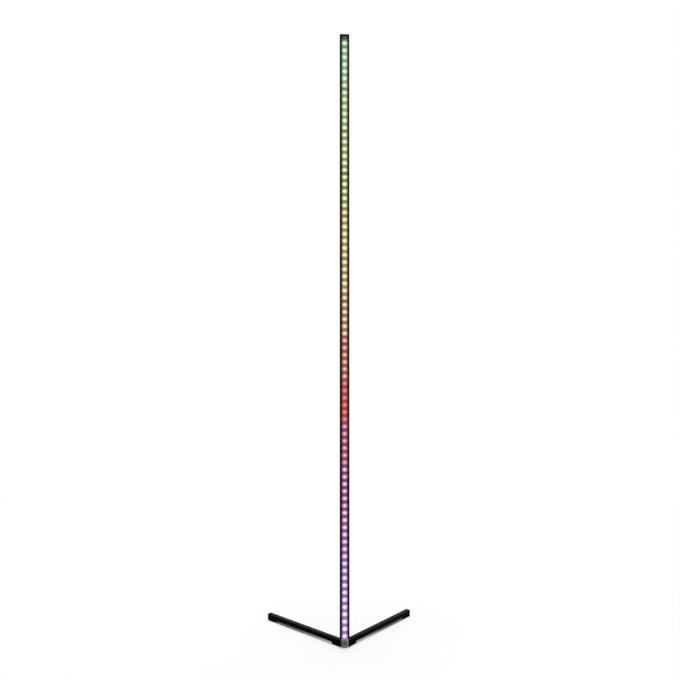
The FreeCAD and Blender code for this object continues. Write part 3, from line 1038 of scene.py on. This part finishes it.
@dataclass
class LightStrip:
    """The strip: its lights, board, chips and resistors, and the sleeve, plug and boot round them.

    Attributes:
        lights: number of lights.
        groups: number of groups that are driven alike.
        lens: half the width of a light's round window.
        lens_depth: how deep the window's floor lies in the light.
        joint_size: width, thickness and height of the solder at a light's corner.
        joint_across: how far the solder is from the light's middle, across the strip.
        joint_along: how far it is along the strip.
        joint_taper: how far its sides slope in.
        pad_size: width, thickness and height of a pad.
        pad_taper: how far its sides slope in.
        pad_count: number of pads in a row.
        pad_step: from one pad to the next.
        sleeve_wall: thickness of the sleeve's walls.
        boot_edge: how far the boot's edges are eased.
        glow: how the strip shines, from the board's own height.
    """

    lights: int = 84
    groups: int = 14
    lens: float = 1.75 * MM
    lens_depth: float = 0.5 * MM
    joint_size: Triple = (0.8 * MM, 0.5 * MM, 1.0 * MM)
    joint_across: float = 2.9 * MM
    joint_along: float = 1.5 * MM
    joint_taper: float = 0.2 * MM
    pad_size: Triple = (1.4 * MM, 0.05 * MM, 2.4 * MM)
    pad_taper: float = 0.05 * MM
    pad_count: int = 4
    pad_step: float = 2.4 * MM
    sleeve_wall: float = 1.0 * MM
    boot_edge: float = 0.25 * MM
    glow: Optional[Glow] = None
    package: Finish = Moulding("white light body", paint(225, 225, 222), 0.5)
    board: Finish = CircuitBoard("white circuit board", paint(228, 229, 226), 0.4)
    chip: Finish = Moulding("black chip epoxy", paint(26, 26, 28), 0.45, 0.4)
    ceramic: Finish = Moulding("resistor ceramic", paint(30, 30, 34), 0.35, 0.5)
    solder: Finish = BrushedMetal("solder", paint(200, 201, 204), 0.3, 0.5, 1.0)
    copper: Finish = BrushedMetal("tinned copper", paint(214, 186, 140), 0.35, 0.5, 1.0)
    tape: Finish = Moulding(
        "foam tape", paint(200, 198, 190), 0.9, 0.2, mark=0.6 * MM, relief=0.08 * MM
    )

    def build(self) -> None:
        """Dress the strip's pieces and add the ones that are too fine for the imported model."""
        low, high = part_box("led_board")
        pitch = (high.z - low.z) / self.lights
        self.glow = Glow(high.z, pitch, self.lights, self.lights // self.groups)
        names = [f"led_group_{number:02d}" for number in range(1, self.groups + 1)]
        dress_nodes(self.package, *names)
        dress_nodes(self.board, "led_board")
        dress_nodes(self.chip, "driver_chips")
        dress_nodes(self.ceramic, "series_resistors")
        dress_nodes(self.tape, "sleeve_tape")
        self.lenses()
        self.joints()
        self.pads()
        self.sleeve()
        self.ends()

    def lenses(self) -> None:
        """Make the domed resin in each light's window."""
        low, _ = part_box("led_group_01")
        floor = low.y + self.lens_depth
        rings = [
            (self.lens, floor),
            (self.lens, floor - 0.25 * MM),
            (self.lens * 0.8, floor - 0.37 * MM),
            (self.lens * 0.4, floor - 0.43 * MM),
        ]
        piece = lathe("light_lenses", rings, 12)
        resin = LitLens("lit resin", paint(240, 238, 220), 0.25, glow=self.glow)
        self.along_lights(piece, resin)

    def along_lights(self, piece: Piece, finish: Finish) -> None:
        """Set a copy of a shape at each light.

        Args:
            piece: the shape, drawn as if its light were at floor height.
            finish: the copies' finish.
        """
        glow = self.glow
        step = Vector((0, 0, glow.pitch))
        start = Vector((0, 0, glow.top - (self.lights - 0.5) * glow.pitch))
        rows = RowsOfRows(start, self.groups, step * glow.per_group, glow.per_group, step)
        rows.spread(piece, finish)
        finish_piece(piece, finish)

    def joints(self) -> None:
        """Make the solder at the four corners of each light."""
        low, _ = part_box("led_board")
        made = bmesh.new()
        for side in (-1, 1):
            for level in (-1, 1):
                joint = bead("solder", self.joint_size, self.joint_taper)
                corner = (side * self.joint_across, low.y, level * self.joint_along)
                joint.data.transform(Matrix.Translation(corner))
                made.from_mesh(joint.data)
                bpy.data.objects.remove(joint)
        piece = from_bmesh("light_solder", made)
        self.along_lights(piece, self.solder)

    def pads(self) -> None:
        """Make the copper pads where the strip may be cut, between groups."""
        low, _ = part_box("led_board")
        piece = bead("cut_pads", self.pad_size, self.pad_taper)
        group = self.glow.pitch * self.glow.per_group
        left = -self.pad_step * (self.pad_count - 1) / 2
        start = Vector((left, low.y, low.z + group))
        up, across = Vector((0, 0, group)), Vector((self.pad_step, 0, 0))
        rows = RowsOfRows(start, self.groups - 1, up, self.pad_count, across)
        rows.spread(piece, self.copper)
        finish_piece(piece, self.copper)

    def sleeve(self) -> None:
        """Dress the sleeve in its glowing silicone."""
        low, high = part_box("silicone_sleeve")
        half_room = (high.x - low.x) / 2 - self.sleeve_wall
        finish = MilkySilicone(
            "milky silicone", paint(40, 41, 40), 0.45, 0.15,
            glow=self.glow, skin=low.y + self.sleeve_wall, half_room=half_room,
        )
        dress_nodes(finish, "silicone_sleeve")

    def ends(self) -> None:
        """Dress the plug in the sleeve's top and the boot on its lower end."""
        low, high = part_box("sleeve_top_plug")
        plug = ClearSilicone(
            "plug silicone", paint(46, 54, 40), 0.4, 0.3,
            rim=paint(70, 76, 64), tint=paint(64, 78, 52),
            room_low=low.z, room_high=high.z + 2 * MM,
            lit_from=high.z - 0.5 * MM, lit_to=high.z - 4 * MM,
        )
        dress_nodes(plug, "sleeve_top_plug")
        low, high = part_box("sleeve_boot")
        boot = ClearSilicone(
            "boot silicone", paint(88, 76, 90), 0.4, 0.35,
            rim=paint(140, 134, 138), tint=paint(120, 78, 138), painted_left_shade=0.75,
            room_low=low.z + 6 * MM, room_high=high.z - 1 * MM,
            lit_from=high.z - 9 * MM, lit_to=high.z + 1 * MM,
        )
        finish_piece(eased("sleeve_boot", self.boot_edge), boot)


@dataclass
class Base:
    """The base: the moulded corner, the two legs with their caps and feet, and the lead's bush.

    Attributes:
        edge: how far the corner's edges are eased.
        leg_edge: how far the legs' edges are eased.
        cap_edge: how far the foot caps' edges are eased.
    """

    edge: float = 0.25 * MM
    leg_edge: float = 0.2 * MM
    cap_edge: float = 0.3 * MM
    # These black finishes have painted light on their upward faces, as if catching the overhead
    # light.
    plastic: Finish = Moulding("black base plastic", paint(3, 3, 4), 0.55, 0.01, painted_top_light=0.02)
    cap: Finish = Moulding("black foot plastic", paint(3, 3, 4), 0.6, 0.008, painted_top_light=0.006)
    steel: Finish = PowderCoat("black powder coat", paint(3, 3, 4), 0.45, 0.008, painted_top_light=0.022)
    rubber: Finish = Moulding("black rubber", paint(22, 22, 22), 0.8, 0.15, mark=0.5 * MM)
    zinc: Finish = BrushedMetal("zinc plate", paint(176, 178, 182), 0.35, 0.5, 1.0)
    screw: Finish = BrushedMetal("blackened leg screw", paint(40, 40, 42), 0.35, 0.5, 0.8)

    def build(self) -> None:
        """Dress the base's pieces."""
        finish_piece(eased("base_corner", self.edge), self.plastic)
        for side in ("left", "right"):
            finish_piece(eased(f"{side}_leg", self.leg_edge), self.steel)
            cap = eased(f"{side}_foot_cap", self.cap_edge)
            finish_piece(cap, self.cap)
        dress_nodes(self.rubber, "corner_pad", "left_foot_pad", "right_foot_pad", "lead_grommet")
        dress_nodes(self.zinc, "left_nut_plate", "right_nut_plate")
        dress_nodes(self.screw, "leg_screws")


# Studio


@dataclass
class Studio:
    """The floor, the light and the camera.

    Attributes:
        lens: focal length on the 36 mm sensor, in millimetres.
        eye: where the camera stands.
        heading: how far to the right of +Y it looks, in degrees.
        pitch: how far up it looks, in degrees.
        sky: how bright the surroundings light the object.
        sun: strength of the soft overhead light.
        sun_width: how wide the overhead light looks from the floor, in degrees.
        floor_size: half the width of the floor.
        base_lift: how much of the floor's look is plain white next to the lamp, at least.
        painted_light_near_pole: how much more that is right under the pole, painted light that
            lightens the shadows there.
        near_reach: distances from the pole over which that painted light fades.
        far_reach: distances from the pole over which the floor turns white.
    """

    lens: float = 35.51
    eye: Triple = (-0.1217, -1.5682, 0.6787)
    heading: float = 4.06
    pitch: float = 1.21
    sky: float = 0.25
    sun: float = 2.52
    sun_width: float = 28.0
    floor_size: float = 30.0
    base_lift: float = 0.04
    painted_light_near_pole: float = 0.3
    near_reach: Pair = (0.01, 0.16)
    far_reach: Pair = (0.5, 2.2)

    def build(self) -> None:
        """Set up the studio."""
        self.camera()
        self.surroundings()
        self.overhead_light()
        self.floor()
        bpy.context.scene.view_settings.view_transform = "Standard"

    def camera(self) -> None:
        """Stand the camera where the picture was taken from."""
        data = bpy.data.cameras.new("camera")
        data.lens = self.lens
        data.sensor_width = 36.0
        data.clip_end = 100.0
        camera = bpy.data.objects.new("camera", data)
        camera.location = self.eye
        camera.rotation_euler = (math.radians(90 + self.pitch), 0, math.radians(-self.heading))
        bpy.context.scene.collection.objects.link(camera)
        bpy.context.scene.camera = camera

    @staticmethod
    def plainly_seen(recipe: Recipe) -> Wire:
        """1 for rays from the camera, in gloss or through glass, and 0 for rays of light."""
        path = recipe.node("ShaderNodeLightPath").outputs
        kinds = ("Camera", "Glossy", "Transmission")
        straight, in_gloss, through = (Wire(recipe, path[f"Is {kind} Ray"]) for kind in kinds)
        return recipe.maths("MAXIMUM", recipe.maths("MAXIMUM", straight, in_gloss), through)

    def surroundings(self) -> None:
        """Make the surroundings: white to look at, and at a plain level for light."""
        world = bpy.data.worlds.new("surroundings")
        world.use_nodes = True
        recipe = Recipe(world.node_tree)
        light = recipe.node("ShaderNodeBackground", {"Color": WHITE, "Strength": self.sky})
        look = recipe.node("ShaderNodeBackground", {"Color": WHITE, "Strength": 1.0})
        inputs = {0: self.plainly_seen(recipe), 1: light.outputs[0], 2: look.outputs[0]}
        both = recipe.node("ShaderNodeMixShader", inputs)
        recipe.node("ShaderNodeOutputWorld", {"Surface": both.outputs[0]})
        bpy.context.scene.world = world

    def overhead_light(self) -> None:
        """Hang one large soft light straight above the lamp."""
        data = bpy.data.lights.new("overhead", "SUN")
        data.energy = self.sun
        data.angle = math.radians(self.sun_width)
        lamp = bpy.data.objects.new("overhead", data)
        bpy.context.scene.collection.objects.link(lamp)

    def floor(self) -> None:
        """Lay the pale floor, which keeps the lamp's shadow."""
        made = bmesh.new()
        bmesh.ops.create_grid(made, x_segments=8, y_segments=8, size=self.floor_size)
        piece = from_bmesh("studio_floor", made)
        material = bpy.data.materials.new("studio floor")
        material.use_nodes = True
        recipe = Recipe(material.node_tree)
        grain = recipe.grain(2.0, 0.4)
        colour = recipe.mixed(grain, paint(248, 248, 247), paint(251, 251, 250))
        matt = recipe.node("ShaderNodeBsdfDiffuse", {"Color": colour})
        look = recipe.node("ShaderNodeEmission", {"Color": WHITE, "Strength": 1.0})
        x, y, _ = recipe.place()
        away = recipe.maths("SQRT", x * x + y * y)
        # Painted light: near the pole more of the floor is plain white, which lightens the shadows
        # there.
        near = (1 - away.step(*self.near_reach)) * self.painted_light_near_pole
        far = away.step(*self.far_reach) * (1 - self.base_lift)
        share = self.plainly_seen(recipe) * (self.base_lift + near + far)
        inputs = {0: share, 1: matt.outputs[0], 2: look.outputs[0]}
        both = recipe.node("ShaderNodeMixShader", inputs)
        recipe.node("ShaderNodeOutputMaterial", {"Surface": both.outputs[0]})
        piece.data.materials.append(material)


def main() -> None:
    """Build the studio and dress each sub-assembly in order."""
    logging.basicConfig(level=logging.INFO, format="%(message)s")
    for part in (Studio(), Pole(), LightStrip(), Base()):
        part.build()
        LOG.info("%s is ready", type(part).__name__)


if __name__ == "__main__":
    main()
